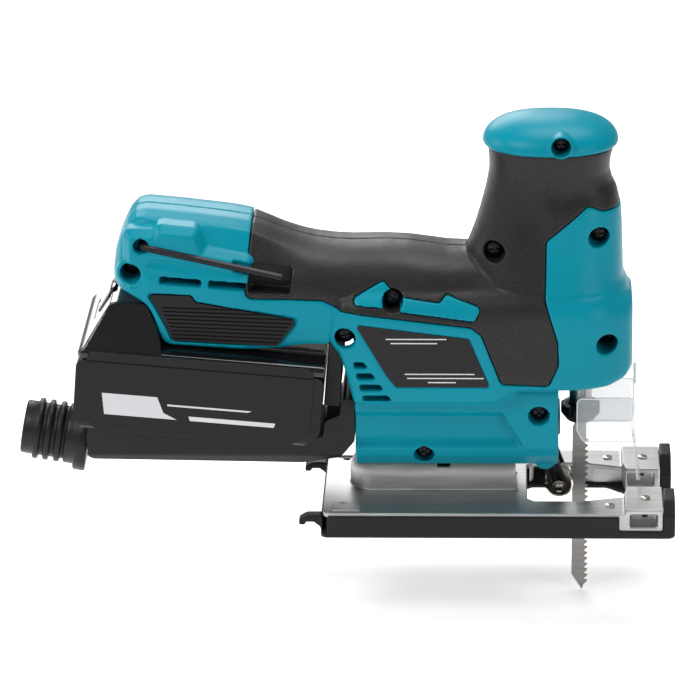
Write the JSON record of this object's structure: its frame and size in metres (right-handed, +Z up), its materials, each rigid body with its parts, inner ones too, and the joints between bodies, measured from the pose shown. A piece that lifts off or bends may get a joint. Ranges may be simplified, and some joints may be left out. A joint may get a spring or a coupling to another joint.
{
  "type": "cordless jigsaw",
  "caption": "Barrel-grip cordless jigsaw with palm cap, bevelling shoe, orbital guide roller, reciprocating T-shank blade, clear guard, sliding battery and rear dust nozzle.",
  "frame": {"origin": "cut point: the blade's centre line where it crosses the plane of the sole", "axes": "+X is the cutting direction, towards the front of the shoe; +Y is the tool's left; +Z is up, away from the workpiece"},
  "size_m": [0.2882, 0.077, 0.2219],
  "materials": {
    "teal_plastic": "satin",
    "grip_rubber": "fine grain",
    "label_film": "satin",
    "black_steel": "black oxide",
    "black_plastic": "matte",
    "gloss_black": "gloss",
    "cast_aluminium": "cast",
    "lamination": "dull",
    "machined_steel": "machined",
    "nickel": "bright",
    "bronze": "plain",
    "blade_steel": "ground",
    "zinc_steel": "zinc plated",
    "fork_black": "black",
    "clear_guard": "clear",
    "board_green": "satin",
    "cell_wrap": "film"
  },
  "bodies": {
    "body": {"housing_right": "teal_plastic", "housing_left": "teal_plastic", "grip_right": "grip_rubber", "grip_left": "grip_rubber", "head_cap": "teal_plastic", "label_plate": "label_film", "housing_screws": "black_steel", "rail_holder": "black_plastic", "gear_housing": "cast_aluminium", "motor_bracket": "cast_aluminium", "motor_stator": "lamination", "rear_bearing": "nickel", "front_bearing": "nickel", "gear_bearing": "nickel", "upper_bush": "bronze", "lower_bush": "bronze", "holder_pivot": "nickel", "shoe_clamp_plate": "machined_steel", "shoe_nut": "machined_steel", "dust_intake": "black_plastic", "dust_tube": "black_plastic", "dust_duct": "black_plastic", "dust_nozzle": "black_plastic", "controller": "board_green", "switch_unit": "black_plastic", "terminal_block": "black_plastic"},
    "rotor": {"rotor_core": "lamination", "motor_shaft": "machined_steel", "pinion": "machined_steel", "fan": "black_plastic"},
    "crank": {"crank_gear": "machined_steel", "crank_roller": "nickel"},
    "plunger": {"plunger": "machined_steel"},
    "sleeve": {"clamp_sleeve": "black_steel"},
    "blade": {"blade": "blade_steel"},
    "roller_holder": {"roller_holder": "fork_black", "roller_pin": "nickel", "roller_ring": "nickel"},
    "roller": {"roller": "nickel"},
    "lever": {"change_lever": "black_plastic"},
    "shoe": {"shoe_base": "zinc_steel", "shoe_cover": "black_plastic", "shoe_rivets": "nickel"},
    "bolt": {"shoe_bolt": "black_steel"},
    "guard": {"blade_guard": "clear_guard"},
    "battery": {"battery_lower_case": "black_plastic", "battery_upper_case": "gloss_black", "battery_cells": "cell_wrap", "cell_holder": "black_plastic", "battery_terminals": "bronze", "release_spring": "machined_steel"},
    "button": {"release_button": "gloss_black"},
    "switch": {"switch_knob": "black_plastic"},
    "dial": {"speed_dial": "black_plastic"},
    "key": {"hex_key": "black_steel"}
  },
  "joints": [
    {"name": "rotor_spin", "type": "hinge", "parent": "body", "child": "rotor", "pos_m": [0, 0, 0.0765], "axis": [1, 0, 0], "continuous": true},
    {"name": "crank_spin", "type": "hinge", "parent": "body", "child": "crank", "pos_m": [0, 0, 0.1005], "axis": [1, 0, 0], "continuous": true},
    {"name": "plunger_stroke", "type": "slide", "parent": "body", "child": "plunger", "axis": [0, 0, 1], "range_m": [-0.0115, 0.0115]},
    {"name": "sleeve_turn", "type": "hinge", "parent": "plunger", "child": "sleeve", "pos_m": [0.0003, 0, 0.045], "axis": [0, 0, 1], "range_deg": [0, 60], "stiffness_Nm_per_rad": 0.05},
    {"name": "blade_release", "type": "slide", "parent": "plunger", "child": "blade", "axis": [0, 0, -1], "range_m": [0, 0.015]},
    {"name": "orbital_swing", "type": "hinge", "parent": "body", "child": "roller_holder", "pos_m": [-0.0152, 0, 0.0294], "axis": [0, 1, 0], "range_deg": [0, 4]},
    {"name": "roller_spin", "type": "hinge", "parent": "roller_holder", "child": "roller", "pos_m": [-0.0089, 0, 0.0123], "axis": [0, 1, 0], "continuous": true},
    {"name": "orbital_lever", "type": "hinge", "parent": "body", "child": "lever", "pos_m": [-0.02, 0.026, 0.048], "axis": [0, 1, 0], "range_deg": [0, 90]},
    {"name": "shoe_tilt", "type": "hinge", "parent": "body", "child": "shoe", "pos_m": [-0.06, 0, 0.018], "axis": [1, 0, 0], "range_deg": [-45, 45]},
    {"name": "bolt_turn", "type": "hinge", "parent": "body", "child": "bolt", "pos_m": [-0.05975, 0, 0.02], "axis": [0, 0, 1], "continuous": true},
    {"name": "guard_lift", "type": "slide", "parent": "body", "child": "guard", "axis": [0, 0, 1], "range_m": [0, 0.009]},
    {"name": "battery_slide", "type": "slide", "parent": "body", "child": "battery", "axis": [-0.9963, 0, 0.0854], "range_m": [0, 0.085]},
    {"name": "button_press", "type": "slide", "parent": "battery", "child": "button", "axis": [-0.0854, 0, -0.9963], "range_m": [0, 0.0025], "stiffness_N_per_m": 800, "deforming": ["release_spring"]},
    {"name": "switch_slide", "type": "slide", "parent": "body", "child": "switch", "axis": [1, 0, 0], "range_m": [0, 0.006]},
    {"name": "dial_turn", "type": "hinge", "parent": "body", "child": "dial", "pos_m": [-0.165, 0.027, 0.122], "axis": [0, 1, 0], "range_deg": [0, 270]},
    {"name": "key_pull", "type": "slide", "parent": "body", "child": "key", "axis": [0, -1, 0], "range_m": [0, 0.03]}
  ],
  "couplings": [
    {"joint": "crank_spin", "follows": "rotor_spin", "ratio": -0.2}
  ]
}
